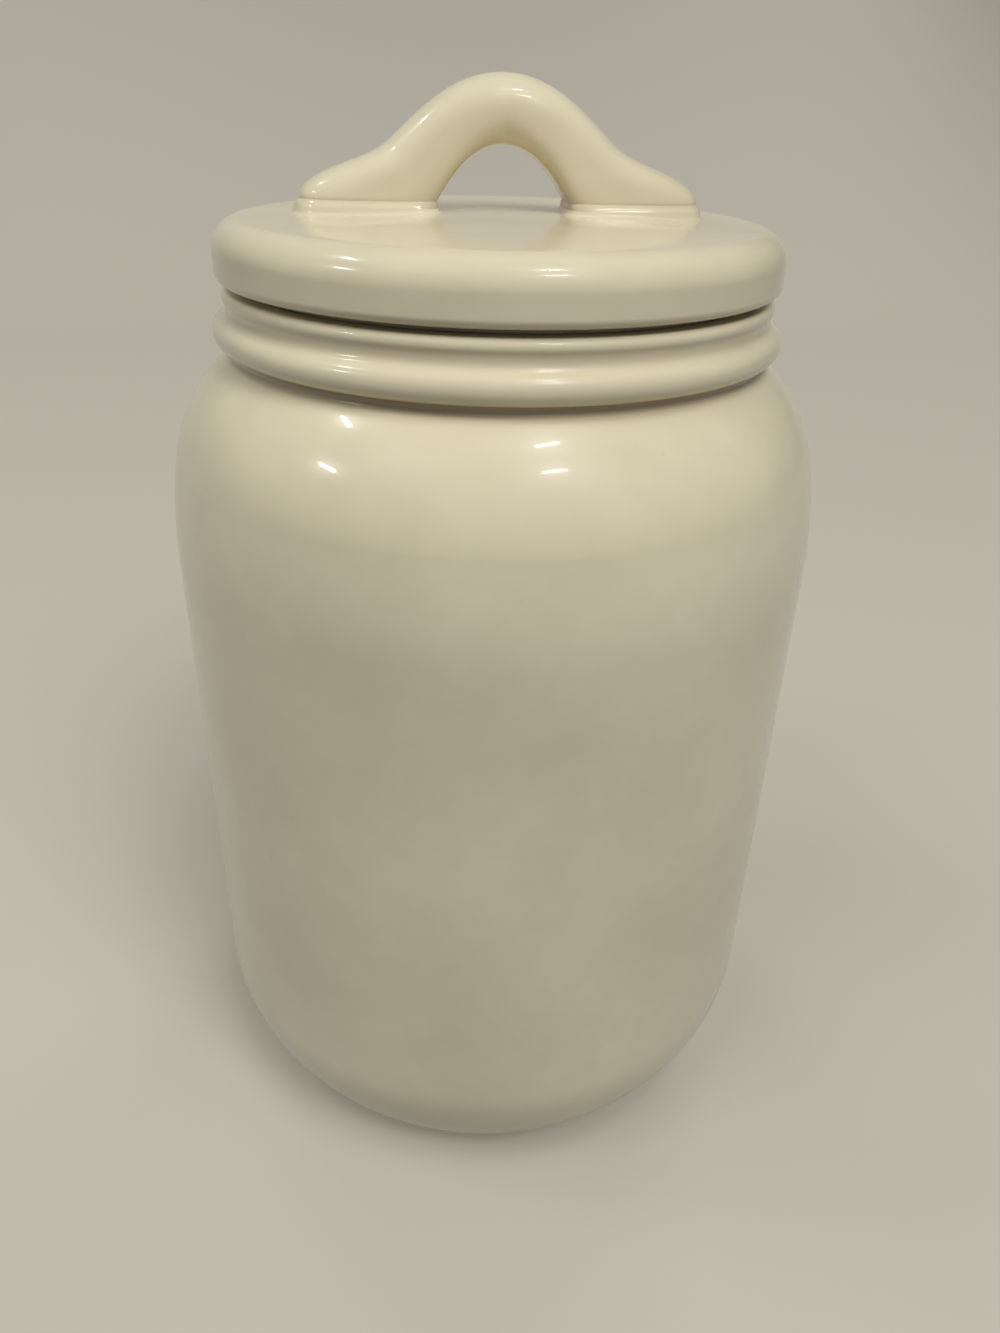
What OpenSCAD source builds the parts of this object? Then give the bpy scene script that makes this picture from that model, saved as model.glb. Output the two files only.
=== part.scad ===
// Tea canister: a glazed ceramic jar with a ringed neck, and a domed lid with an arched handle.
// Lengths are in millimetres and angles in degrees. +Z is up, and the foot stands on z = 0.
// The handle runs along X, and everything else is round about the Z axis.

/* [Body] */
// Outside diameter of the straight side
body_d = 120; // [112:1:128]
// Height at which the straight side ends and the shoulder begins
side_top = 122.5; // [90:0.5:160]
// Wall thickness of the side and the shoulder
wall = 5; // [4:0.5:6]
// Outside radius of the rounded bottom corner
corner_r = 32; // [26:1:36]
// Radius of the same corner inside the jar
inner_corner_r = 22; // [16:1:26]
// Height of the floor inside the jar
floor_top = 7; // [6:0.5:10]

/* [Foot] */
// How far the flat foot cuts up into the rounded corner
foot_cut = 3.8; // [1:0.2:6]
// Width of the flat ring that the jar stands on
foot_ring_w = 5; // [3:0.5:8]
// Depth of the recess within that ring
foot_recess = 2.5; // [1:0.5:4]

/* [Shoulder] */
// Radius of the long lower curve
shoulder_long_r = 92; // [70:1:110]
// Angle through which the long curve turns
shoulder_turn = 11; // [7:1:15]
// Radius of the tighter upper curve
shoulder_short_r = 28.5; // [26:0.5:32]

/* [Neck] */
// Outside diameter of the neck between its rings
neck_d = 93.2; // [88:0.2:98]
// Wall thickness of the neck
neck_wall = 4.8; // [4:0.2:6]
// Section radius of the big ring
ring_r = 2.5; // [2:0.1:3]
// How far the middle of that section lies outside the neck's surface
ring_out = 0.6; // [0:0.1:1]
// Height from the end of the shoulder to the middle of the ring
ring_rise = 3.4; // [2.8:0.1:4]
// Height from the middle of the ring to the top of the rim
rim_rise = 6.8; // [6:0.1:8.5]
// Section radius of the slim bead round the rim
bead_r = 1.2; // [0.8:0.1:1.5]
// Rounding of the mouth's inner edge
mouth_edge_r = 1; // [0.5:0.1:1.5]

/* [Lid] */
// How far the lid's side stands out beyond the neck
lid_overhang = 1.9; // [0.5:0.1:4]
// Height of the lid from its underside to the top of its crown
lid_h = 10.6; // [9:0.1:14]
// Radius of the crowned top
crown_r = 900; // [500:50:1500]
// Rounding of the lid's upper edge
lid_edge_r = 5; // [3:0.1:6]
// Rounding of the lid's lower edge
lid_lip_r = 0.8; // [0.4:0.1:1.5]
// Thickness of the lid in the middle
lid_t = 5.9; // [4.5:0.1:7]
// Gap between the plug and the mouth, which the seal fills
plug_gap = 3; // [2.4:0.1:3.4]
// Wall thickness of the plug
plug_wall = 4.5; // [3.5:0.5:6]
// Depth of the plug below the lid's underside
plug_depth = 12; // [11:0.5:16]
// Section radius of the bead that keeps the seal on the plug
keeper_r = 0.9; // [0.6:0.1:1.1]
// How far that bead stands out from the plug
keeper_out = 0.6; // [0.3:0.1:0.8]
// Rounding of the corner inside the plug
hollow_corner_r = 5; // [2:0.5:8]

/* [Seal ring] */
// Thickness of the flange between the lid and the rim
flange_t = 1.1; // [0.8:0.1:2]
// Play between the flange and the rim that it rests on
rest_play = 0.02; // [0.01:0.01:0.1]
// How far the flange's edge stays back from the neck's outside
flange_inset = 2.2; // [0.8:0.1:2.8]
// Thickness of the band round the plug
band_t = 1.3; // [0.8:0.1:1.6]
// Number of sealing lips
lip_count = 2; // [1:1:2]
// Thickness of one lip
lip_t = 0.9; // [0.6:0.1:1.2]
// Height from one lip to the next
lip_pitch = 3.4; // [2.6:0.1:3.6]
// Rise of a lip from the band to its tip
lip_rise = 0.6; // [0:0.1:1]
// Clearance between the seal and the plug
seat_clearance = 0.1; // [0.05:0.05:0.3]
// Clearance between the lips and the mouth
lip_clearance = 0.25; // [0.1:0.05:0.5]

/* [Handle] */
// Length of the handle over its two feet
handle_len = 68; // [60:0.2:74]
// Height of the handle from its seats to the top of the arch
handle_h = 19.8; // [17:0.2:24]
// Width of the finger opening at the seats
opening_w = 23.2; // [18:0.2:28]
// Height of the finger opening
opening_h = 9.3; // [7:0.1:11]
// Depth of the arch from front to back at its top
arch_depth = 11.2; // [9:0.2:14]
// Depth of each foot from front to back
foot_depth = 13; // [11:0.2:16]
// Height of the rounded end of each foot
toe_h = 4; // [3:0.1:5]

/* [Handle seats] */
// Height of the seats above the top of the crown
seat_rise = 0.6; // [0.3:0.1:1]
// How far each seat stands out around its foot
seat_margin = 0.3; // [0.1:0.1:0.6]
// Radius of the cove that blends each seat into the crown
cove_r = 1.7; // [1.4:0.1:2.4]

/* [Hidden] */
$fn = 128;

glaze_colour = [0.86, 0.83, 0.72];
silicone_colour = [0.80, 0.80, 0.77];
// Distance by which a cut runs past the face that it cuts
past = 1;

// Bottom of the jar
body_r = body_d / 2;
corner_c = [body_r - corner_r, corner_r - foot_cut];
foot_r = corner_c.x + sqrt(corner_r ^ 2 - corner_c.y ^ 2);
foot_inner_r = foot_r - foot_ring_w;
inner_r = body_r - wall;
inner_corner_c = [inner_r - inner_corner_r, floor_top + inner_corner_r];

// Shoulder: the short curve follows the long one, and stands proud of it by a hair so that the two cross
knee_lap = 0.01;
long_c = [body_r - shoulder_long_r, side_top];
short_c = long_c + (shoulder_long_r - shoulder_short_r + knee_lap) * [cos(shoulder_turn), sin(shoulder_turn)];

// Neck: it starts where the short curve reaches its radius
neck_r = neck_d / 2;
mouth_r = neck_r - neck_wall;
neck_bottom = short_c.y + sqrt(shoulder_short_r ^ 2 - (neck_r - short_c.x) ^ 2);
ring_z = neck_bottom + ring_rise;
rim_top = ring_z + rim_rise;

// Lid
lid_r = neck_r + lid_overhang;
flange_bottom = rim_top + rest_play;
lid_bottom = flange_bottom + flange_t;
crown_top = lid_bottom + lid_h;
crown_c = [0, crown_top - crown_r];
edge_x = lid_r - lid_edge_r;
edge_c = [edge_x, crown_c.y + sqrt((crown_r - lid_edge_r) ^ 2 - edge_x ^ 2)];
plug_r = mouth_r - plug_gap;
plug_inner_r = plug_r - plug_wall;
plug_bottom = lid_bottom - plug_depth;
hollow_top = crown_top - lid_t;

// Seal ring
band_inner_r = plug_r + seat_clearance;
band_r = band_inner_r + band_t;
band_bottom = plug_bottom + 2 * keeper_r + seat_clearance;
lip_r = mouth_r - lip_clearance;
flange_r = neck_r - flange_inset;
first_lip_z = rim_top - mouth_edge_r - lip_rise - lip_t - lip_clearance;

// Handle and its seats
seat_z = crown_top + seat_rise;
foot_outer_x = handle_len / 2;
foot_inner_x = opening_w / 2;
foot_c = (foot_outer_x + foot_inner_x) / 2;
foot_half = [(foot_outer_x - foot_inner_x) / 2, foot_depth / 2];
seat_half = foot_half + [seat_margin, seat_margin];
seat_low = hollow_top;
loft_steps = 20;
loft_sides = 36;
// Facets of the crown's wide circle, where it is drawn as a mesh
crown_fn = 720;

// Outline of the shoulder, moved inwards by inset
module shoulder_outline(inset) {
    knee = side_top + (shoulder_long_r - inset) * sin(shoulder_turn);
    intersection() {
        translate(long_c) circle(r = shoulder_long_r - inset);
        translate([0, side_top]) square([body_r, knee - side_top]);
    }
    intersection() {
        translate(short_c) circle(r = shoulder_short_r - inset);
        translate([0, short_c.y]) square([body_r, rim_top - short_c.y]);
    }
}

// Outline of the jar as a full form, with its rings
module jar_outline() {
    intersection() {
        translate(corner_c) circle(r = corner_r);
        square([body_r, corner_c.y]);
    }
    square([corner_c.x, corner_c.y]);
    translate([0, corner_c.y]) square([body_r, side_top - corner_c.y]);
    shoulder_outline(0);
    translate([0, side_top]) square([neck_r, rim_top - side_top]);
    translate([neck_r + ring_out, ring_z]) circle(r = ring_r);
    translate([neck_r, rim_top - bead_r]) circle(r = bead_r);
}

// Outline of the space inside the jar
module cavity_outline() {
    intersection() {
        translate(inner_corner_c) circle(r = inner_corner_r);
        square([inner_r, inner_corner_c.y]);
    }
    translate([0, floor_top]) square([inner_corner_c.x, inner_corner_r]);
    translate([0, inner_corner_c.y]) square([inner_r, side_top - inner_corner_c.y]);
    shoulder_outline(wall);
    translate([0, side_top]) square([mouth_r, rim_top + past - side_top]);
    translate([mouth_r - past, rim_top - mouth_edge_r]) difference() {
        square([past + mouth_edge_r, mouth_edge_r + past]);
        translate([past + mouth_edge_r, 0]) circle(r = mouth_edge_r);
    }
}

// Recess under the floor, with a sloping side
module foot_recess_outline() {
    polygon([
        [0, -past],
        [foot_inner_r + past, -past],
        [foot_inner_r - foot_recess, foot_recess],
        [0, foot_recess]
    ]);
}

module jar() {
    color(glaze_colour) rotate_extrude() difference() {
        jar_outline();
        cavity_outline();
        foot_recess_outline();
    }
}

// Outline of the lid's disc, with a crowned top and two rounded edges
module disc_outline() {
    edge_way = (edge_c - crown_c) / norm(edge_c - crown_c);
    side_bottom = lid_bottom + lid_lip_r;
    intersection() {
        union() {
            intersection() {
                translate(crown_c) circle(r = crown_r, $fn = crown_fn);
                polygon([crown_c, crown_c + (crown_r + past) * edge_way, [0, crown_top + past]]);
            }
            translate(edge_c) circle(r = lid_edge_r);
        }
        translate([0, side_bottom]) square([lid_r, lid_h]);
    }
    translate([0, side_bottom]) square([lid_r, edge_c.y - side_bottom]);
    translate([lid_r - lid_lip_r, side_bottom]) circle(r = lid_lip_r);
    translate([0, lid_bottom]) square([lid_r - lid_lip_r, 2 * lid_lip_r]);
}

// Outline of the plug, with the bead that keeps the seal on it
module plug_outline() {
    translate([0, plug_bottom]) square([plug_r, plug_depth + lid_lip_r]);
    translate([plug_r + keeper_out - keeper_r, plug_bottom + keeper_r]) circle(r = keeper_r);
}

// Outline of the hollow inside the plug
module hollow_outline() {
    corner = [plug_inner_r - hollow_corner_r, hollow_top - hollow_corner_r];
    translate([0, plug_bottom - past]) square([plug_inner_r, corner.y - plug_bottom + past]);
    translate([0, corner.y]) square([corner.x, hollow_corner_r]);
    intersection() {
        translate(corner) circle(r = hollow_corner_r);
        translate(corner) square(hollow_corner_r);
    }
}

// Half of a seat's section, from its middle out to the foot of its cove
module seat_outline() {
    difference() {
        translate([0, seat_low]) square([seat_half.y + cove_r, seat_z - seat_low]);
        translate([seat_half.y + cove_r, seat_z]) circle(r = cove_r);
    }
}

// Raised seat for one foot of the handle: straight sides and round ends
module handle_seat() {
    run = seat_half.x - seat_half.y;
    translate([foot_c, 0, 0]) {
        translate([run, 0, 0]) rotate([0, 0, -90]) rotate_extrude(angle = 180) seat_outline();
        translate([-run, 0, 0]) rotate([0, 0, 90]) rotate_extrude(angle = 180) seat_outline();
        for (side = [0, 1]) mirror([0, side, 0])
            translate([-run, 0, 0]) rotate([90, 0, 90]) linear_extrude(height = 2 * run) seat_outline();
    }
}

module lid() {
    color(glaze_colour) {
        rotate_extrude() difference() {
            union() {
                disc_outline();
                plug_outline();
            }
            hollow_outline();
        }
        for (side = [0, 1]) mirror([side, 0, 0]) handle_seat();
    }
}

// Point at share t of a curve that is steered by four points
function curve(p, t) =
    (1 - t) ^ 3 * p[0] + 3 * (1 - t) ^ 2 * t * p[1] + 3 * (1 - t) * t ^ 2 * p[2] + t ^ 3 * p[3];

// How the handle's curves are steered, in shares of its half length, its height, its toe and its opening
top_pull = 0.235;
slope_place = [0.55, 0.5];
slope_way = [0.16, -0.24];
instep_pull = 0.6;
toe_place = 0.65;
toe_way = [1.125, -0.65];
toe_pull = 0.4;
toe_drop = 0.5;
soffit_pull = 0.4;
soffit_place = [0.715, 0.6];
// How much squarer than an ellipse the sections grow towards the feet
foot_square = 0.6;

// The arch's outside runs from its top down a slope, along the instep and round the toe.
// Each point is [distance from the middle, height above the seats].
slope_end = [slope_place.x * foot_outer_x, slope_place.y * handle_h];
slope_lean = [slope_way.x * foot_outer_x, slope_way.y * handle_h];
toe_start = [foot_outer_x - toe_place * toe_h, toe_h];
toe_lean = toe_h * toe_way;
slope = [[0, handle_h], [top_pull * foot_outer_x, handle_h], slope_end - slope_lean, slope_end];
instep = [slope_end, slope_end + instep_pull * slope_lean, toe_start - toe_lean, toe_start];
toe = [toe_start, toe_start + toe_pull * toe_lean, [foot_outer_x, toe_drop * toe_h], [foot_outer_x, 0]];
// The inside of the arch is one curve
soffit = [
    [0, opening_h],
    [soffit_pull * foot_inner_x, opening_h],
    [soffit_place.x * foot_inner_x, soffit_place.y * opening_h],
    [foot_inner_x, 0]
];

// Shares of the way from the top to the foot at which the outside changes curve
slope_share = 0.5;
instep_share = 0.8;

function outside(u) =
    u < slope_share ? curve(slope, u / slope_share)
    : u < instep_share ? curve(instep, (u - slope_share) / (instep_share - slope_share))
    : curve(toe, (u - instep_share) / (1 - instep_share));

function inside(u) = curve(soffit, 1 - (1 - u) ^ 2);

// A number drawn towards 1 by a power, with its sign kept
function rounded(c, power) = sign(c) * abs(c) ^ power;

// One section of the arch: an ellipse at the top that grows squarer towards the foot
function section(u, side) =
    let (
        middle = (outside(u) + inside(u)) / 2,
        reach = (outside(u) - inside(u)) / 2,
        deep = (arch_depth + (foot_depth - arch_depth) * u) / 2,
        power = 2 / (2 + foot_square * u)
    )
    [
        for (k = [0:loft_sides - 1])
            let (
                a = 360 * (k + 0.5) / loft_sides,
                along = middle + rounded(cos(a), power) * reach
            )
            [side * along.x, deep * rounded(sin(a), power), seat_z + along.y]
    ];

module handle() {
    sections = [
        for (i = [-loft_steps:loft_steps]) section(abs(i) / loft_steps, i < 0 ? -1 : 1)
    ];
    rings = len(sections);
    points = [for (ring = sections) each ring];
    skin = [
        for (i = [0:rings - 2], k = [0:loft_sides - 1])
            let (
                a = i * loft_sides + k,
                b = i * loft_sides + (k + 1) % loft_sides
            )
            each [[a, b, b + loft_sides], [a, b + loft_sides, a + loft_sides]]
    ];
    first_cap = [for (k = [loft_sides - 1:-1:0]) k];
    last_cap = [for (k = [0:loft_sides - 1]) (rings - 1) * loft_sides + k];
    color(glaze_colour) polyhedron(points = points, faces = [each skin, first_cap, last_cap]);
}

// Outline of one sealing lip, which rises from the band towards the mouth
module lip_outline() {
    polygon([
        [band_r - band_t / 2, 0],
        [band_r, 0],
        [lip_r, lip_rise],
        [lip_r, lip_rise + lip_t / 2],
        [band_r, lip_t],
        [band_r - band_t / 2, lip_t]
    ]);
}

module seal_ring() {
    color(silicone_colour) rotate_extrude() {
        translate([band_inner_r, band_bottom]) square([band_t, lid_bottom - band_bottom]);
        translate([band_inner_r, flange_bottom]) square([flange_r - band_inner_r, flange_t]);
        for (i = [0:lip_count - 1]) translate([0, first_lip_z - i * lip_pitch]) lip_outline();
    }
}

jar();
lid();
handle();
seal_ring();
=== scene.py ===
"""A glazed ceramic tea canister: jar, lid with an arched handle, and the silicone ring on the lid's plug.

Sizes below are in millimetres and in the part's own frame. Meshes are written in metres.
"""

import math

import bpy
import numpy as np
from mathutils import Matrix, Vector


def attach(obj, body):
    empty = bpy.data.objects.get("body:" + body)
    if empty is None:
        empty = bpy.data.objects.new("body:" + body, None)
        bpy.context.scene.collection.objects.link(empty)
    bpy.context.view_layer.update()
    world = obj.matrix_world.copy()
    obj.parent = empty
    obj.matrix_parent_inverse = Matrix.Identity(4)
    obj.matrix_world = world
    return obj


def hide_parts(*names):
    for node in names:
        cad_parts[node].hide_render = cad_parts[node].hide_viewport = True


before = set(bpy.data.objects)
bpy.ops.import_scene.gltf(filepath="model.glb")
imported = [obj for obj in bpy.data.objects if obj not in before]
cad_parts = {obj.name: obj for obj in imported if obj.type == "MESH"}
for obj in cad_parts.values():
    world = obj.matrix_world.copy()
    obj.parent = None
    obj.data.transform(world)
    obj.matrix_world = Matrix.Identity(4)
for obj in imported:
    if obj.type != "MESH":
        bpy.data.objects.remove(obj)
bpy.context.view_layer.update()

MM = 0.001

# Jar
BODY_R = 60.0
SIDE_TOP = 122.5
WALL = 5.0
CORNER_R = 32.0
FOOT_CUT = 3.8
FOOT_RING_W = 5.0
FOOT_RECESS = 2.5
FOOT_RECESS_R = 1.5
FOOT_EDGE_R = 0.5
HEEL_R = 0.8
HEEL_INSET = 0.1
HEEL_RUN = 1.6
HEEL_TURN = 4.0
INNER_CORNER_R = 22.0
FLOOR_TOP = 7.0
LONG_R = 92.0
TURN = 11.0
SHORT_R = 28.5
KNEE_LAP = 0.01

# Neck
NECK_R = 46.6
NECK_WALL = 4.8
RING_R = 2.5
RING_OUT = 0.6
RING_RISE = 3.4
RIM_RISE = 6.8
BEAD_R = 1.2
MOUTH_EDGE_R = 1.0
MOUTH_EASE = 0.6
MOUTH_EASE_TURN = 2.0
GROOVE_FILL_R = 1.9
CREASE_FILL_R = 0.9

# Lid
LID_R = 48.5
LID_H = 10.6
CROWN_R = 900.0
LID_EDGE_R = 5.0
LID_LIP_R = 1.5
LID_T = 5.9
PLUG_GAP = 3.0
PLUG_WALL = 4.5
PLUG_DEPTH = 12.0
PLUG_ROOT_R = 0.5
PLUG_EDGE_R = 1.0
KEEPER_R = 0.9
KEEPER_OUT = 0.6
KEEPER_LEAD = 0.3
KEEPER_START = 60.0
HOLLOW_CORNER_R = 5.0

# Seal ring
FLANGE_T = 1.1
REST_PLAY = 0.02
FLANGE_INSET = 2.2
BAND_T = 1.3
LIP_T = 0.9
LIP_PITCH = 3.4
LIP_RISE = 0.6
SEAT_CLEARANCE = 0.1
LIP_CLEARANCE = 0.25
SEAL_EDGE_R = 0.3
SEAL_TOP_R = 0.2
LIP_EDGE_R = 0.18
FLANGE_EDGE_R = 0.4

# Handle
HANDLE_LEN = 68.0
HANDLE_H = 19.78
OPENING_W = 23.2
OPENING_H = 9.3
ARCH_DEPTH = 11.2
FOOT_DEPTH = 13.0
TOE_H = 4.0
SEAT_RISE = 0.6
FOOT_SQUARE = 0.6
INNER_SQUARE = 4.5
# Painted shade on the inner faces of the feet, strongest at the foot
INNER_PAINTED_SHADE = 0.9

# The handle's curves, as shares of its half length and height, of its toe's height and of the opening
CREST_REACH = 0.235
SLOPE_END = 0.55, 0.5
SLOPE_LEAN = 0.16, -0.24
INSTEP_EASE = 0.6
TOE_SETBACK = 0.65
TOE_LEAN = 1.125, -0.65
TOE_EASE = 0.4
TOE_DROP = 0.5
SOFFIT_REACH = 0.4
SOFFIT_STEER = 0.715, 0.6
SLOPE_SHARE, INSTEP_SHARE = 0.5, 0.8

# The roll of slip that each foot stands on
FOOT_BAND = 2.0
CREASE_RISE = 1.0
TUCK = 0.05
TUCK_REACH = 0.35
# Painted shade, with some gathered glaze, in the crease above each roll
TUCK_POOL_AND_SHADE = 0.28
ROLL_OUT = 0.85
ROLL_POWER = 0.85
COVE_W = 0.7
COVE_REACH = 0.2
COVE_SINK = 0.06

# Fineness of the meshes
SEGMENTS = 192
SAME_POINT = 0.02
ON_AXIS = 1e-6
EDGE_SHARE = 0.49
NECK_STEP = 0.02
NECK_SPACING = 0.3
CORNERS = 96
PLACES = 401
ARCH_RINGS = 80
BAND_RINGS = 44
COVE_RINGS = 24

# Heights and radii that follow from the sizes
corner_c = (BODY_R - CORNER_R, CORNER_R - FOOT_CUT)
foot_r = corner_c[0] + math.sqrt(CORNER_R ** 2 - corner_c[1] ** 2)
foot_inner_r = foot_r - FOOT_RING_W
inner_corner_c = (BODY_R - WALL - INNER_CORNER_R, FLOOR_TOP + INNER_CORNER_R)
turn = math.radians(TURN)
long_c = (BODY_R - LONG_R, SIDE_TOP)
short_reach = LONG_R - SHORT_R + KNEE_LAP
short_c = (long_c[0] + short_reach * math.cos(turn), long_c[1] + short_reach * math.sin(turn))
neck_bottom = short_c[1] + math.sqrt(SHORT_R ** 2 - (NECK_R - short_c[0]) ** 2)
mouth_r = NECK_R - NECK_WALL
ring_z = neck_bottom + RING_RISE
rim_top = ring_z + RIM_RISE
flange_bottom = rim_top + REST_PLAY
lid_bottom = flange_bottom + FLANGE_T
crown_top = lid_bottom + LID_H
plug_r = mouth_r - PLUG_GAP
plug_inner_r = plug_r - PLUG_WALL
plug_bottom = lid_bottom - PLUG_DEPTH
hollow_top = crown_top - LID_T
seat_z = crown_top + SEAT_RISE


# Outlines

def arc(centre, radius, start, end, step=0.6):
    """Points of an arc from one angle to another, in degrees."""
    a0, a1 = math.radians(start), math.radians(end)
    count = max(3, int(math.ceil(abs(a1 - a0) * radius / step)) + 1)
    a = np.linspace(a0, a1, count)
    return np.stack([centre[0] + radius * np.cos(a), centre[1] + radius * np.sin(a)], -1)


def line(a, b, step=5.0):
    """Points of a straight run, with both its ends."""
    a, b = np.array(a, float), np.array(b, float)
    count = max(2, int(math.ceil(np.linalg.norm(b - a) / step)) + 1)
    return a + np.linspace(0, 1, count)[:, None] * (b - a)


def joined(*runs):
    """One outline out of several runs, without double points."""
    points = np.concatenate([np.asarray(r, float).reshape(-1, 2) for r in runs])
    keep = [0]
    for i in range(1, len(points)):
        if np.linalg.norm(points[i] - points[keep[-1]]) > SAME_POINT:
            keep.append(i)
    return points[keep]


def rounded(corners, radius, closed=False, step=0.15):
    """A polygon with each corner rounded. A corner may carry its own radius as a third number."""
    n, out = len(corners), []
    for i, c in enumerate(corners):
        p = np.array(c[:2], float)
        r = c[2] if len(c) > 2 else radius
        if r <= 0 or (not closed and i in (0, n - 1)):
            out.append(p[None])
            continue
        a, b = np.array(corners[i - 1][:2], float), np.array(corners[(i + 1) % n][:2], float)
        da, db = (a - p) / np.linalg.norm(a - p), (b - p) / np.linalg.norm(b - p)
        half = math.acos(max(-1.0, min(1.0, float(da @ db)))) / 2
        shorter = min(np.linalg.norm(a - p), np.linalg.norm(b - p))
        reach = min(r / math.tan(half), EDGE_SHARE * shorter)
        r = reach * math.tan(half)
        centre = p + (da + db) / np.linalg.norm(da + db) * r / math.sin(half)
        start = p + da * reach - centre
        end = p + db * reach - centre
        a0 = math.atan2(start[1], start[0])
        sweep = math.atan2(end[1], end[0]) - a0
        sweep = (sweep + math.pi) % (2 * math.pi) - math.pi
        count = max(3, int(abs(sweep) * r / step) + 2)
        t = a0 + np.linspace(0, 1, count) * sweep
        out.append(np.stack([centre[0] + r * np.cos(t), centre[1] + r * np.sin(t)], -1))
    return np.concatenate(out)


def filled(z, r, ball):
    """The outline r(z) with its inner corners filled as far as a ball of that radius doesn't reach."""
    step = z[1] - z[0]
    reach = int(ball / step)
    offsets = np.arange(-reach, reach + 1)
    lift = np.sqrt(np.maximum(ball ** 2 - (offsets * step) ** 2, 0))
    padded = np.pad(r, reach, mode="edge")
    grown = np.max([padded[reach + o: reach + o + len(r)] + h for o, h in zip(offsets, lift)], axis=0)
    padded = np.pad(grown, reach, mode="edge")
    return np.min([padded[reach + o: reach + o + len(r)] - h for o, h in zip(offsets, lift)], axis=0)


def respaced(points, spacing):
    """The same run with even spacing."""
    gaps = np.linalg.norm(np.diff(points, axis=0), axis=1)
    along = np.concatenate([[0], np.cumsum(gaps)])
    count = max(3, int(along[-1] / spacing) + 1)
    t = np.linspace(0, along[-1], count)
    return np.stack([np.interp(t, along, points[:, 0]), np.interp(t, along, points[:, 1])], -1)


def neck_outline():
    """The outside from the long shoulder curve's end up to the rim. Glaze has run into its grooves."""
    z = np.arange(short_c[1] + SHORT_R * math.sin(turn), rim_top, NECK_STEP)
    r = short_c[0] + np.sqrt(np.maximum(SHORT_R ** 2 - (z - short_c[1]) ** 2, 0))
    r = np.where(z > neck_bottom, NECK_R, r)
    rounds = (NECK_R + RING_OUT, ring_z, RING_R), (NECK_R, rim_top - BEAD_R, BEAD_R)
    for x, level, radius in rounds:
        room = radius ** 2 - (z - level) ** 2
        r = np.maximum(r, np.where(room > 0, x + np.sqrt(np.maximum(room, 0)), 0))
    upper = (z > ring_z) & (z < rim_top - BEAD_R)
    r[upper] = filled(z, r, GROOVE_FILL_R)[upper]
    lower = z <= ring_z
    r[lower] = filled(z, r, CREASE_FILL_R)[lower]
    return respaced(np.stack([r, z], -1), NECK_SPACING)


def jar_outline():
    """From the axis under the foot up the outside, over the rim and down the inside to the axis."""
    start = math.degrees(math.atan2(-corner_c[1], foot_r - corner_c[0])) + HEEL_TURN
    corner = arc(corner_c, CORNER_R, start, 0, step=1.0)
    underside = rounded([
        (0, FOOT_RECESS),
        (foot_inner_r - FOOT_RECESS, FOOT_RECESS, FOOT_RECESS_R),
        (foot_inner_r, 0, FOOT_EDGE_R),
        (foot_r - HEEL_RUN, 0),
    ], FOOT_EDGE_R)
    heel = rounded([(foot_r - HEEL_RUN, 0), (foot_r - HEEL_INSET, 0), tuple(corner[0])], HEEL_R)
    inside_r = SHORT_R - WALL
    inside_turn = math.degrees(math.acos((mouth_r - short_c[0]) / inside_r))
    mouth_end = short_c[1] + inside_r * math.sin(math.radians(inside_turn)) + MOUTH_EASE
    mouth_edge_c = (mouth_r + MOUTH_EDGE_R, rim_top - MOUTH_EDGE_R)
    return joined(
        underside,
        heel,
        corner,
        line((BODY_R, corner_c[1]), (BODY_R, SIDE_TOP)),
        arc(long_c, LONG_R, 0, TURN, step=1.2),
        neck_outline(),
        line((NECK_R, rim_top), (mouth_edge_c[0], rim_top), step=1.0),
        arc(mouth_edge_c, MOUTH_EDGE_R, 90, 180, step=0.2),
        line((mouth_r, mouth_edge_c[1]), (mouth_r, mouth_end)),
        arc(short_c, inside_r, inside_turn - MOUTH_EASE_TURN, TURN, step=1.2),
        arc(long_c, LONG_R - WALL, TURN, 0, step=1.6),
        line((BODY_R - WALL, SIDE_TOP), (BODY_R - WALL, inner_corner_c[1]), step=8),
        arc(inner_corner_c, INNER_CORNER_R, 0, -90, step=1.2),
        line((inner_corner_c[0], FLOOR_TOP), (0, FLOOR_TOP)),
    )


crown_c = (0.0, crown_top - CROWN_R)
edge_x = LID_R - LID_EDGE_R
edge_c = (edge_x, crown_c[1] + math.sqrt((CROWN_R - LID_EDGE_R) ** 2 - edge_x ** 2))
edge_way = math.degrees(math.atan2(edge_c[1] - crown_c[1], edge_c[0]))


def crown(r):
    """Height of the lid's top at a distance from its axis."""
    return crown_c[1] + np.sqrt(CROWN_R ** 2 - np.asarray(r) ** 2)


def lid_outline():
    """From the middle of the top around the edge and the plug to the middle of the hollow."""
    lip_c = (LID_R - LID_LIP_R, lid_bottom + LID_LIP_R)
    keeper_c = (plug_r + KEEPER_OUT - KEEPER_R, plug_bottom + KEEPER_R)
    under = rounded([
        (lip_c[0], lid_bottom),
        (plug_r, lid_bottom),
        (plug_r, plug_bottom + 2 * KEEPER_R + KEEPER_LEAD),
    ], PLUG_ROOT_R)
    hollow = rounded([
        (keeper_c[0], plug_bottom),
        (plug_inner_r, plug_bottom),
        (plug_inner_r, hollow_top, HOLLOW_CORNER_R),
        (0, hollow_top),
    ], PLUG_EDGE_R, step=0.5)
    return joined(
        arc(crown_c, CROWN_R, 90, edge_way, step=1.5),
        arc(edge_c, LID_EDGE_R, edge_way, 0, step=0.35),
        line((LID_R, edge_c[1]), (LID_R, lip_c[1]), step=1.0),
        arc(lip_c, LID_LIP_R, 0, -90, step=0.2),
        under,
        arc(keeper_c, KEEPER_R, KEEPER_START, -90, step=0.2),
        hollow,
    )


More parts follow.
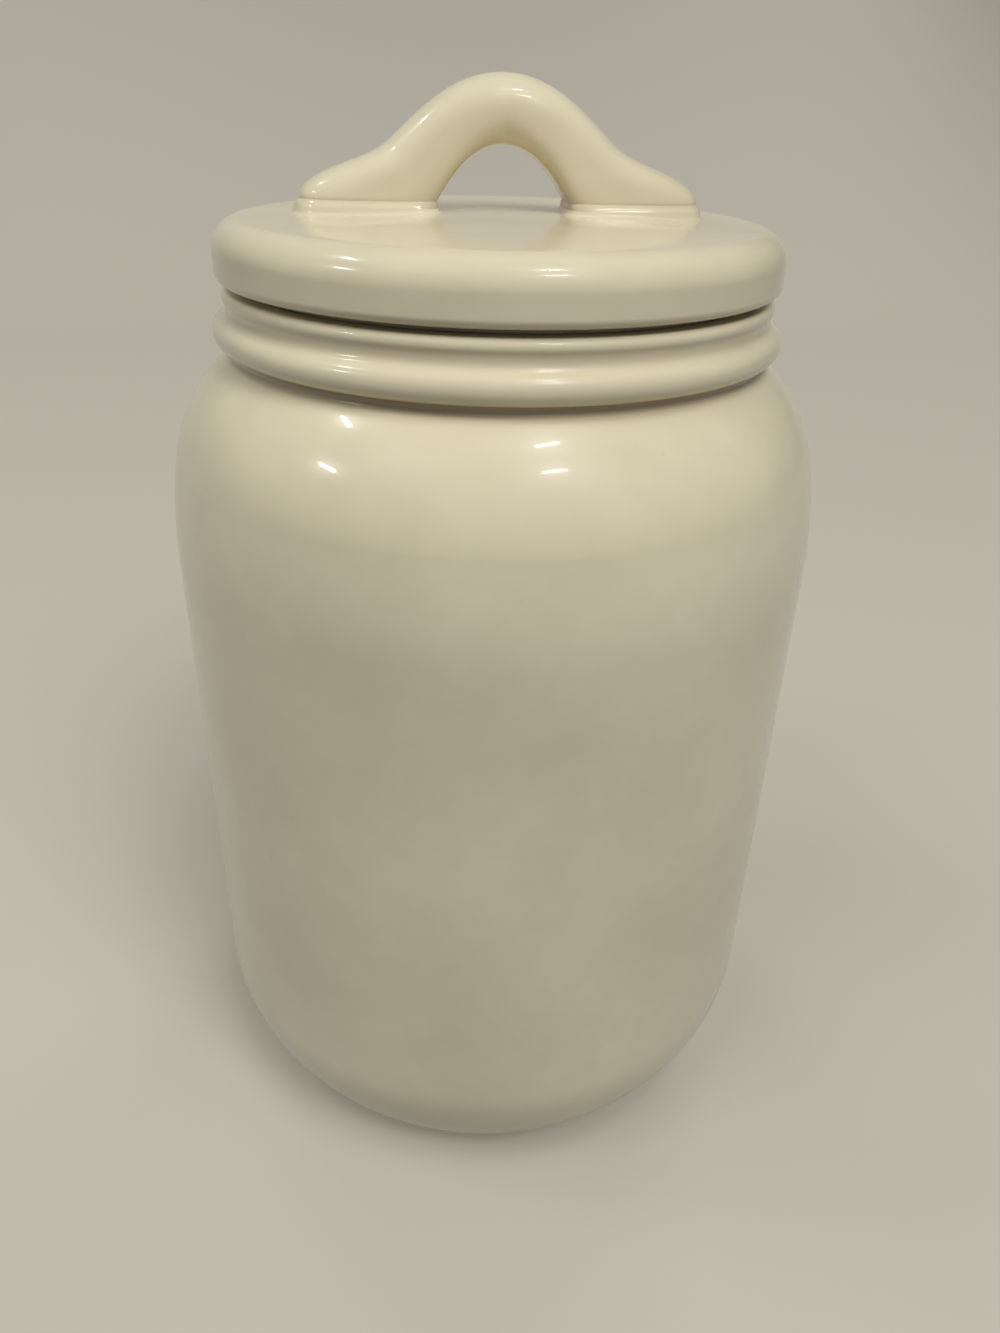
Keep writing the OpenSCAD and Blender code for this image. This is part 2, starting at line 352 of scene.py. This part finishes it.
def seal_outline():
    """The ring's section: a band with two lips, and a flange that the lid sits on."""
    inner = plug_r + SEAT_CLEARANCE
    band = inner + BAND_T
    lip = mouth_r - LIP_CLEARANCE
    flange_r = NECK_R - FLANGE_INSET
    bottom = plug_bottom + 2 * KEEPER_R + SEAT_CLEARANCE
    first = rim_top - MOUTH_EDGE_R - LIP_RISE - LIP_T - LIP_CLEARANCE
    corners = [(inner, bottom), (band, bottom)]
    for z in (first - LIP_PITCH, first):
        corners += [
            (band, z),
            (lip, z + LIP_RISE, LIP_EDGE_R),
            (lip, z + LIP_RISE + LIP_T / 2, LIP_EDGE_R),
            (band, z + LIP_T),
        ]
    corners += [
        (band, flange_bottom),
        (flange_r, flange_bottom, FLANGE_EDGE_R),
        (flange_r, lid_bottom, FLANGE_EDGE_R),
        (inner, lid_bottom, SEAL_TOP_R),
    ]
    return rounded(corners, SEAL_EDGE_R, closed=True)


# Meshes

def mesh_piece(name, points, faces, body, node, pool_and_shade):
    """A smooth mesh piece from points in millimetres, which rides on a body and stands for a CAD node.

    The last argument says for each point how far the glaze is darkened there, from 0 to 1: partly glaze
    gathered in hollows, partly painted shade in creases, recesses and inner faces.
    """
    mesh = bpy.data.meshes.new(name)
    mesh.from_pydata((np.asarray(points) * MM).tolist(), [], faces)
    mesh.update()
    layer = mesh.attributes.new("pool_and_shade", "FLOAT", "POINT")
    layer.data.foreach_set("value", np.asarray(pool_and_shade, np.float32))
    mesh.polygons.foreach_set("use_smooth", [True] * len(mesh.polygons))
    piece = bpy.data.objects.new(name, mesh)
    bpy.context.scene.collection.objects.link(piece)
    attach(piece, body)
    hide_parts(node)
    return piece


def turned(name, outline, body, node, closed=False, pool_shade_spots=()):
    """A piece turned on the Z axis from an outline of (radius, height). Ends on the axis close to one point.

    The last argument lists where the glaze is darkened, as (radius, height, reach, amount): partly glaze
    gathered there, partly painted shade.
    """
    angles = np.arange(SEGMENTS) * 2 * math.pi / SEGMENTS
    points, rows = [], []
    for r, z in outline:
        if r < ON_AXIS:
            rows.append([len(points)])
            points.append((0.0, 0.0, z))
            continue
        rows.append(list(range(len(points), len(points) + SEGMENTS)))
        points.extend((r * math.cos(a), r * math.sin(a), z) for a in angles)
    faces = []
    pairs = list(zip(rows, rows[1:])) + ([(rows[-1], rows[0])] if closed else [])
    for low, high in pairs:
        for i in range(SEGMENTS):
            j = (i + 1) % SEGMENTS
            if len(low) == 1:
                faces.append((low[0], high[j], high[i]))
            elif len(high) == 1:
                faces.append((low[i], low[j], high[0]))
            else:
                faces.append((low[i], low[j], high[j], high[i]))
    points = np.array(points)
    pool_and_shade = np.zeros(len(points))
    for r, z, reach, amount in pool_shade_spots:
        away = np.hypot(np.hypot(points[:, 0], points[:, 1]) - r, points[:, 2] - z)
        pool_and_shade = np.maximum(pool_and_shade, amount * np.exp(-(away / reach) ** 2))
    return mesh_piece(name, points, faces, body, node, pool_and_shade)


def bezier(p, t):
    """A point of the cubic curve with four control points."""
    a, b, c, d = (np.asarray(q, float) for q in p)
    return (1 - t) ** 3 * a + 3 * (1 - t) ** 2 * t * b + 3 * (1 - t) * t ** 2 * c + t ** 3 * d


half_len, half_opening = HANDLE_LEN / 2, OPENING_W / 2
slope_end = np.array(SLOPE_END) * (half_len, HANDLE_H)
slope_lean = np.array(SLOPE_LEAN) * (half_len, HANDLE_H)
toe_start = np.array([half_len - TOE_SETBACK * TOE_H, TOE_H])
toe_lean = TOE_H * np.array(TOE_LEAN)
slope = (0, HANDLE_H), (CREST_REACH * half_len, HANDLE_H), slope_end - slope_lean, slope_end
instep = slope_end, slope_end + INSTEP_EASE * slope_lean, toe_start - toe_lean, toe_start
toe = toe_start, toe_start + TOE_EASE * toe_lean, (half_len, TOE_DROP * TOE_H), (half_len, 0)
soffit_steer = np.array(SOFFIT_STEER) * (half_opening, OPENING_H)
soffit = (0, OPENING_H), (SOFFIT_REACH * half_opening, OPENING_H), soffit_steer, (half_opening, 0)
corner_way = 2 * math.pi * (np.arange(CORNERS) + 0.5) / CORNERS


def outside(u):
    """The arch's outer edge, from its top (u = 0) to the toe's end (u = 1)."""
    if u < SLOPE_SHARE:
        return bezier(slope, u / SLOPE_SHARE)
    if u < INSTEP_SHARE:
        return bezier(instep, (u - SLOPE_SHARE) / (INSTEP_SHARE - SLOPE_SHARE))
    return bezier(toe, (u - INSTEP_SHARE) / (1 - INSTEP_SHARE))


def handle_section(u):
    """One ring of the handle's loft, from the arch's top (u = 0) to the foot (u = 1)."""
    out, inn = outside(u), bezier(soffit, 1 - (1 - u) ** 2)
    middle, reach = (out + inn) / 2, (out - inn) / 2
    deep = (ARCH_DEPTH + (FOOT_DEPTH - ARCH_DEPTH) * u) / 2
    c, s = np.cos(corner_way), np.sin(corner_way)
    power = 2 / (2 + FOOT_SQUARE * u + np.where(c < 0, INNER_SQUARE * u, 0.0))
    along = middle + (np.sign(c) * np.abs(c) ** power)[:, None] * reach
    across = deep * np.sign(s) * np.abs(s) ** power
    return np.stack([along[:, 0], across, seat_z + along[:, 1]], -1)


def handle_stations():
    """How far along the loft each corner of each ring lies. The rings near the foot are level."""
    places = np.linspace(0, 1, PLACES)
    heights = np.array([handle_section(u)[:, 2] - seat_z for u in places])

    def at_height(z):
        return np.array([np.interp(z, heights[::-1, k], places[::-1]) for k in range(CORNERS)])

    upper = [t * at_height(FOOT_BAND) for t in np.linspace(0, 1, ARCH_RINGS)]
    return upper + [at_height(z) for z in np.linspace(FOOT_BAND, 0, BAND_RINGS)[1:]]


def handle_piece():
    """The handle as one loft from foot to foot. Each foot stands on a roll of slip that runs into the lid."""
    stations = handle_stations()
    half = [np.array([handle_section(u)[k] for k, u in enumerate(ring)]) for ring in stations]
    foot = half[-1]
    tangent = np.roll(foot, -1, axis=0) - np.roll(foot, 1, axis=0)
    out = np.stack([tangent[:, 1], -tangent[:, 0], np.zeros(CORNERS)], -1)
    out /= np.linalg.norm(out, axis=1)[:, None]
    if ((foot - foot.mean(0)) * out).sum() < 0:
        out = -out
    crease_z = seat_z + CREASE_RISE
    end = foot + (ROLL_OUT + COVE_W) * out
    lid_z = crown(np.hypot(end[:, 0], end[:, 1])) - COVE_SINK
    for k in range(1, COVE_RINGS + 1):
        ring = foot.copy()
        ring[:, 2] += (lid_z - foot[:, 2]) * k / COVE_RINGS
        half.append(ring)
    for ring in half:
        rise = ring[:, 2] - lid_z
        roll = ROLL_OUT * (1 - np.clip(rise / (crease_z - lid_z), 0, 1) ** 2) ** ROLL_POWER
        cove = COVE_W * np.exp(-rise / COVE_REACH)
        tuck = TUCK * np.exp(-((ring[:, 2] - crease_z) / TUCK_REACH) ** 2)
        ring += (roll + cove - tuck)[:, None] * out
    mirror = [ring * np.array([-1, 1, 1]) for ring in half[1:]][::-1]
    rings = mirror + half
    points = np.concatenate(rings)
    faces = []
    for i in range(len(rings) - 1):
        for k in range(CORNERS):
            a, b = i * CORNERS + k, i * CORNERS + (k + 1) % CORNERS
            faces.append((a, a + CORNERS, b + CORNERS, b))
    last = len(points) - CORNERS
    faces.append(tuple(range(CORNERS)))
    faces.append(tuple(range(last + CORNERS - 1, last - 1, -1)))
    # Painted shade: the inner faces of the feet grow darker towards the foot, under the arch
    inward = np.clip(-np.cos(corner_way), 0, 1)
    pool_and_shade_share = [INNER_PAINTED_SHADE * u * inward for u in stations] + [0 * inward] * COVE_RINGS
    pool_and_shade_share = np.concatenate(pool_and_shade_share[:0:-1] + pool_and_shade_share)
    # Painted shade, with some gathered glaze, along the crease where each foot meets its roll
    crease_pool_and_shade = TUCK_POOL_AND_SHADE * np.exp(-((points[:, 2] - crease_z) / TUCK_REACH) ** 2)
    return mesh_piece("handle_glazed", points, faces, "lid", "handle", np.maximum(crease_pool_and_shade, pool_and_shade_share))


groove_z = (ring_z + RING_R + rim_top - 2 * BEAD_R) / 2
recess_z = (neck_bottom + ring_z - RING_R) / 2
# Darker glaze in the groove above the ring and in the recess under it: partly gathered glaze, partly painted
# shade
groove_pool_and_shade = (NECK_R + 0.6, groove_z, 0.9, 0.35)
recess_pool_and_shade = (NECK_R + 0.9, recess_z, 1.1, 1.0)
jar = turned("jar_glazed", jar_outline(), "jar", "jar", pool_shade_spots=(groove_pool_and_shade, recess_pool_and_shade))
lid = turned("lid_glazed", lid_outline()[::-1], "lid", "lid")
seal = turned("seal_silicone", seal_outline(), "seal", "seal_ring", closed=True)
handle = handle_piece()


# Materials

# Pairs are the darker and the lighter tone of a cloudy colour
GLAZE = (0.665, 0.598, 0.418), (0.785, 0.714, 0.514)
GLAZE_MOTTLE = (0.98, 0.978, 0.972), (1.0, 1.0, 1.0)
CLAY = (0.56, 0.49, 0.38), (0.7, 0.64, 0.53)
SILICONE = (0.6, 0.585, 0.52), (0.68, 0.67, 0.61)
SPECK, SPECK_AMOUNT = (0.42, 0.33, 0.2), (0.12, 0.12, 0.12)
# The tan of gathered glaze, also used as painted shade in creases, recesses and the feet's inner faces
POOL_SHADE_TONE, POOL_SHADE_AMOUNT = (0.36, 0.27, 0.16), (0.8, 0.8, 0.8)
NOTHING = (0.0, 0.0, 0.0)

# Which part of a noise's values carries the tones, and which the roughness
TONE_RANGE = 0.3, 0.7
SPREAD_RANGE = 0.35, 0.65


def material(name):
    """A new material with one principled shader."""
    m = bpy.data.materials.new(name)
    m.use_nodes = True
    nodes = m.node_tree.nodes
    nodes.clear()
    out = nodes.new("ShaderNodeOutputMaterial")
    shader = nodes.new("ShaderNodeBsdfPrincipled")
    m.node_tree.links.new(shader.outputs[0], out.inputs[0])
    return m, nodes, m.node_tree.links, shader


def noise(nodes, links, where, scale, detail):
    """A noise over the piece's own coordinates, in metres."""
    cloud = nodes.new("ShaderNodeTexNoise")
    cloud.inputs["Scale"].default_value = scale
    cloud.inputs["Detail"].default_value = detail
    links.new(where.outputs["Object"], cloud.inputs["Vector"])
    return cloud


def ramp(nodes, links, value, *stops):
    """A colour ramp over a value, from (position, colour) pairs."""
    tone = nodes.new("ShaderNodeValToRGB")
    elements = tone.color_ramp.elements
    while len(elements) < len(stops):
        elements.new(1.0)
    for element, (position, colour) in zip(elements, stops):
        element.position = position
        element.color = (*colour, 1)
    links.new(value, tone.inputs["Fac"])
    return tone


def cloudy(nodes, links, cloud, tones):
    """Two tones over the middle range of a noise."""
    return ramp(nodes, links, cloud.outputs["Fac"], *zip(TONE_RANGE, tones)).outputs["Color"]


def spread(nodes, links, value, low, high):
    """A value's middle range, stretched from low to high."""
    stretch = nodes.new("ShaderNodeMapRange")
    stretch.inputs["From Min"].default_value = SPREAD_RANGE[0]
    stretch.inputs["From Max"].default_value = SPREAD_RANGE[1]
    stretch.inputs["To Min"].default_value = low
    stretch.inputs["To Max"].default_value = high
    links.new(value, stretch.inputs["Value"])
    return stretch.outputs[0]


def mixed(nodes, links, factor, under, over):
    """A plain colour on top of another colour, by a factor that varies."""
    mix = nodes.new("ShaderNodeMixRGB")
    links.new(factor, mix.inputs["Fac"])
    links.new(under, mix.inputs["Color1"])
    mix.inputs["Color2"].default_value = (*over, 1)
    return mix.outputs[0]


def bumped(nodes, links, shader, height, strength, distance):
    """A shader's surface made uneven by a noise. The distance is in metres."""
    bump = nodes.new("ShaderNodeBump")
    bump.inputs["Strength"].default_value = strength
    bump.inputs["Distance"].default_value = distance
    links.new(height.outputs["Fac"], bump.inputs["Height"])
    links.new(bump.outputs["Normal"], shader.inputs["Normal"])


def glaze():
    """Cream gloss glaze: cloudy, with faint iron specks and orange peel, and tan where it has gathered and
    where painted shade darkens creases, recesses and inner faces.
    """
    m, nodes, links, shader = material("cream_glaze")
    where = nodes.new("ShaderNodeTexCoord")
    cloud = noise(nodes, links, where, scale=24, detail=4)
    mottle = noise(nodes, links, where, scale=260, detail=3)
    base = nodes.new("ShaderNodeMixRGB")
    base.blend_type = "MULTIPLY"
    base.inputs["Fac"].default_value = 1
    links.new(cloudy(nodes, links, cloud, GLAZE), base.inputs["Color1"])
    links.new(cloudy(nodes, links, mottle, GLAZE_MOTTLE), base.inputs["Color2"])
    cells = nodes.new("ShaderNodeTexVoronoi")
    cells.inputs["Scale"].default_value = 130
    links.new(where.outputs["Object"], cells.inputs["Vector"])
    speck = ramp(nodes, links, cells.outputs["Distance"], (0.02, SPECK_AMOUNT), (0.045, NOTHING))
    colour = mixed(nodes, links, speck.outputs["Color"], base.outputs[0], SPECK)
    # Tan from gathered glaze and from painted shade in creases, recesses and inner faces
    pool_and_shade_share = nodes.new("ShaderNodeAttribute")
    pool_and_shade_share.attribute_name = "pool_and_shade"
    pool_shade_mix = ramp(nodes, links, pool_and_shade_share.outputs["Fac"], (0.0, NOTHING), (1.0, POOL_SHADE_AMOUNT))
    colour = mixed(nodes, links, pool_shade_mix.outputs["Color"], colour, POOL_SHADE_TONE)
    links.new(colour, shader.inputs["Base Color"])
    links.new(spread(nodes, links, cloud.outputs["Fac"], 0.17, 0.24), shader.inputs["Roughness"])
    peel = noise(nodes, links, where, scale=110, detail=2)
    bumped(nodes, links, shader, peel, strength=0.035, distance=0.0004)
    shader.inputs["IOR"].default_value = 1.5
    shader.inputs["Coat Weight"].default_value = 0.5
    shader.inputs["Coat Roughness"].default_value = 0.04
    return m


def bisque():
    """Bare fired clay where the glaze was wiped off for the kiln shelf: matt, grainy and slightly buff."""
    m, nodes, links, shader = material("bare_clay")
    where = nodes.new("ShaderNodeTexCoord")
    grain = noise(nodes, links, where, scale=900, detail=4)
    links.new(cloudy(nodes, links, grain, CLAY), shader.inputs["Base Color"])
    links.new(spread(nodes, links, grain.outputs["Fac"], 0.75, 0.92), shader.inputs["Roughness"])
    bumped(nodes, links, shader, grain, strength=0.3, distance=0.0002)
    return m


def silicone():
    """Satin silicone with a soft haze and the fine marks of its mould."""
    m, nodes, links, shader = material("seal_silicone")
    where = nodes.new("ShaderNodeTexCoord")
    haze = noise(nodes, links, where, scale=60, detail=3)
    links.new(cloudy(nodes, links, haze, SILICONE), shader.inputs["Base Color"])
    links.new(spread(nodes, links, haze.outputs["Fac"], 0.42, 0.55), shader.inputs["Roughness"])
    marks = noise(nodes, links, where, scale=700, detail=2)
    bumped(nodes, links, shader, marks, strength=0.12, distance=0.0002)
    shader.inputs["IOR"].default_value = 1.41
    return m


def bare(piece, clay, level, slack, nearest, farthest):
    """Gives bare clay to the faces of a piece that lie at a level and between two distances from the axis."""
    piece.data.materials.append(clay)
    for face in piece.data.polygons:
        away = math.hypot(face.center.x, face.center.y) / MM
        if abs(face.center.z / MM - level) < slack and nearest < away < farthest:
            face.material_index = 1


glazed, unglazed = glaze(), bisque()
for piece in (jar, lid, handle):
    piece.data.materials.append(glazed)
seal.data.materials.append(silicone())
bare(jar, unglazed, level=0.0, slack=0.35, nearest=foot_inner_r - 1.0, farthest=foot_r)
bare(lid, unglazed, level=plug_bottom, slack=0.3, nearest=plug_inner_r, farthest=plug_r)


# Camera, fitted to the outlines in the photograph

PITCH, YAW, ROLL = math.radians(29.508), math.radians(7.662), math.radians(1.652)
FOCAL_PX, LONG_SIDE_PX, SENSOR = 1000.0, 1333.0, 36.0
PLACE = Vector((-0.02278, -0.18551, 0.1963))
ahead = Vector((math.sin(YAW) * math.cos(PITCH), math.cos(YAW) * math.cos(PITCH), -math.sin(PITCH)))
level = Vector((math.cos(YAW), -math.sin(YAW), 0))
above = level.cross(ahead)
right = math.cos(ROLL) * level + math.sin(ROLL) * above
up = math.cos(ROLL) * above - math.sin(ROLL) * level
camera_data = bpy.data.cameras.new("camera")
camera_data.sensor_width = SENSOR
camera_data.lens = SENSOR * FOCAL_PX / LONG_SIDE_PX
camera_data.clip_start = 0.01
camera = bpy.data.objects.new("camera", camera_data)
camera.matrix_world = Matrix((
    (right.x, up.x, -ahead.x, PLACE.x),
    (right.y, up.y, -ahead.y, PLACE.y),
    (right.z, up.z, -ahead.z, PLACE.z),
    (0, 0, 0, 1),
))
bpy.context.scene.collection.objects.link(camera)
bpy.context.scene.camera = camera


# Stage and light

FLOOR_SEEN = (0.43, 0.405, 0.355, 1)
FLOOR_BOUNCE = (0.14, 0.135, 0.13, 1)
FLOOR_GLOW = (0.115, 0.103, 0.08, 1)
WORLD_LIGHT = (0.12, 0.118, 0.115, 1)
WORLD_SEEN = (0.34, 0.312, 0.26, 1)
FLOOR_FRONT, FLOOR_DEPTH, FLOOR_HALF_W = -3.0, 0.75, 6.0
BEND_R, BEND_STEPS = 0.5, 24
BACK_RISE = 2.2
LAMP_REACH = 1.4
LAMP_AIM = Vector((0, 0, 0.12))
CAMERA_TURN = 7.0

# Small lamps that the glaze mirrors: name, azimuth, elevation
SPARK_SIZE, SPARK_POWER = (0.17, 0.035), 0.75
SPARKS = (
    ("left_spark", -67, 35),
    ("far_left_spark", -92, 55),
    ("right_spark", 28, 52),
    ("far_right_spark", 37, 68),
)

# Soft lamps that it doesn't mirror: name, azimuth, elevation, size, power
SOFT_LAMPS = (
    ("left_soft", -45, 56, (0.5, 0.45), 3.2),
    ("low_left_soft", -93, 25, (0.6, 0.5), 2.8),
    ("right_soft", 30, 48, (0.6, 0.5), 9.2),
    ("far_right_soft", 38.5, 66, (0.5, 0.45), 3.4),
    ("back_left_soft", -150, 28, (0.6, 0.5), 3.0),
    ("back_right_soft", 150, 28, (0.6, 0.5), 3.4),
)


def background_colour(nodes, links, cast, seen):
    """The background's colour: one as it is seen, also in reflections, and one as it lights the object.

    The second result is 1 where it is seen and 0 where it gives light.
    """
    mix = nodes.new("ShaderNodeMixRGB")
    mix.inputs["Color1"].default_value = cast
    mix.inputs["Color2"].default_value = seen
    path = nodes.new("ShaderNodeLightPath")
    direct = path.outputs["Is Camera Ray"]
    for kind in ("Is Glossy Ray", "Is Transmission Ray"):
        either = nodes.new("ShaderNodeMath")
        either.operation = "MAXIMUM"
        links.new(direct, either.inputs[0])
        links.new(path.outputs[kind], either.inputs[1])
        direct = either.outputs[0]
    links.new(direct, mix.inputs["Fac"])
    return mix.outputs[0], direct


def backdrop():
    """A pale floor that sweeps up behind in one curve. What it throws back onto the object is dimmed."""
    run = [(FLOOR_FRONT, 0.0), (FLOOR_DEPTH, 0.0)]
    for k in range(1, BEND_STEPS + 1):
        a = math.pi / 2 * k / BEND_STEPS
        run.append((FLOOR_DEPTH + BEND_R * math.sin(a), BEND_R * (1 - math.cos(a))))
    run.append((FLOOR_DEPTH + BEND_R, BACK_RISE + BEND_R))
    points = [(x, y, z) for y, z in run for x in (-FLOOR_HALF_W, FLOOR_HALF_W)]
    faces = [(2 * i, 2 * i + 1, 2 * i + 3, 2 * i + 2) for i in range(len(run) - 1)]
    mesh = bpy.data.meshes.new("backdrop")
    mesh.from_pydata(points, [], faces)
    mesh.polygons.foreach_set("use_smooth", [True] * len(mesh.polygons))
    piece = bpy.data.objects.new("backdrop", mesh)
    bpy.context.scene.collection.objects.link(piece)
    m = bpy.data.materials.new("backdrop")
    m.use_nodes = True
    nodes, links = m.node_tree.nodes, m.node_tree.links
    nodes.clear()
    out = nodes.new("ShaderNodeOutputMaterial")
    colour, direct = background_colour(nodes, links, FLOOR_BOUNCE, FLOOR_SEEN)
    shader = nodes.new("ShaderNodeBsdfDiffuse")
    links.new(colour, shader.inputs["Color"])
    glow = nodes.new("ShaderNodeEmission")
    glow.inputs["Color"].default_value = FLOOR_GLOW
    links.new(direct, glow.inputs["Strength"])
    both = nodes.new("ShaderNodeAddShader")
    links.new(shader.outputs[0], both.inputs[0])
    links.new(glow.outputs[0], both.inputs[1])
    links.new(both.outputs[0], out.inputs[0])
    mesh.materials.append(m)


def lamp(name, azimuth, elevation, size, power):
    """A soft box aimed at the upper body. Azimuth 0 is on the camera's side, and 90 is to its right."""
    a, e = math.radians(azimuth - CAMERA_TURN), math.radians(elevation)
    way = Vector((math.sin(a) * math.cos(e), -math.cos(a) * math.cos(e), math.sin(e)))
    data = bpy.data.lights.new(name, "AREA")
    data.shape = "RECTANGLE"
    data.size, data.size_y = size
    data.energy = power
    light = bpy.data.objects.new(name, data)
    light.location = LAMP_AIM + way * LAMP_REACH
    light.rotation_euler = way.to_track_quat("Z", "Y").to_euler()
    bpy.context.scene.collection.objects.link(light)
    return light


backdrop()
for name, azimuth, elevation in SPARKS:
    lamp(name, azimuth, elevation, SPARK_SIZE, SPARK_POWER)
for name, azimuth, elevation, size, power in SOFT_LAMPS:
    lamp(name, azimuth, elevation, size, power).visible_glossy = False

world = bpy.data.worlds.new("world")
bpy.context.scene.world = world
world.use_nodes = True
nodes, links = world.node_tree.nodes, world.node_tree.links
sky, _ = background_colour(nodes, links, WORLD_LIGHT, WORLD_SEEN)
links.new(sky, nodes["Background"].inputs["Color"])

bpy.context.scene.view_settings.view_transform = "Standard"
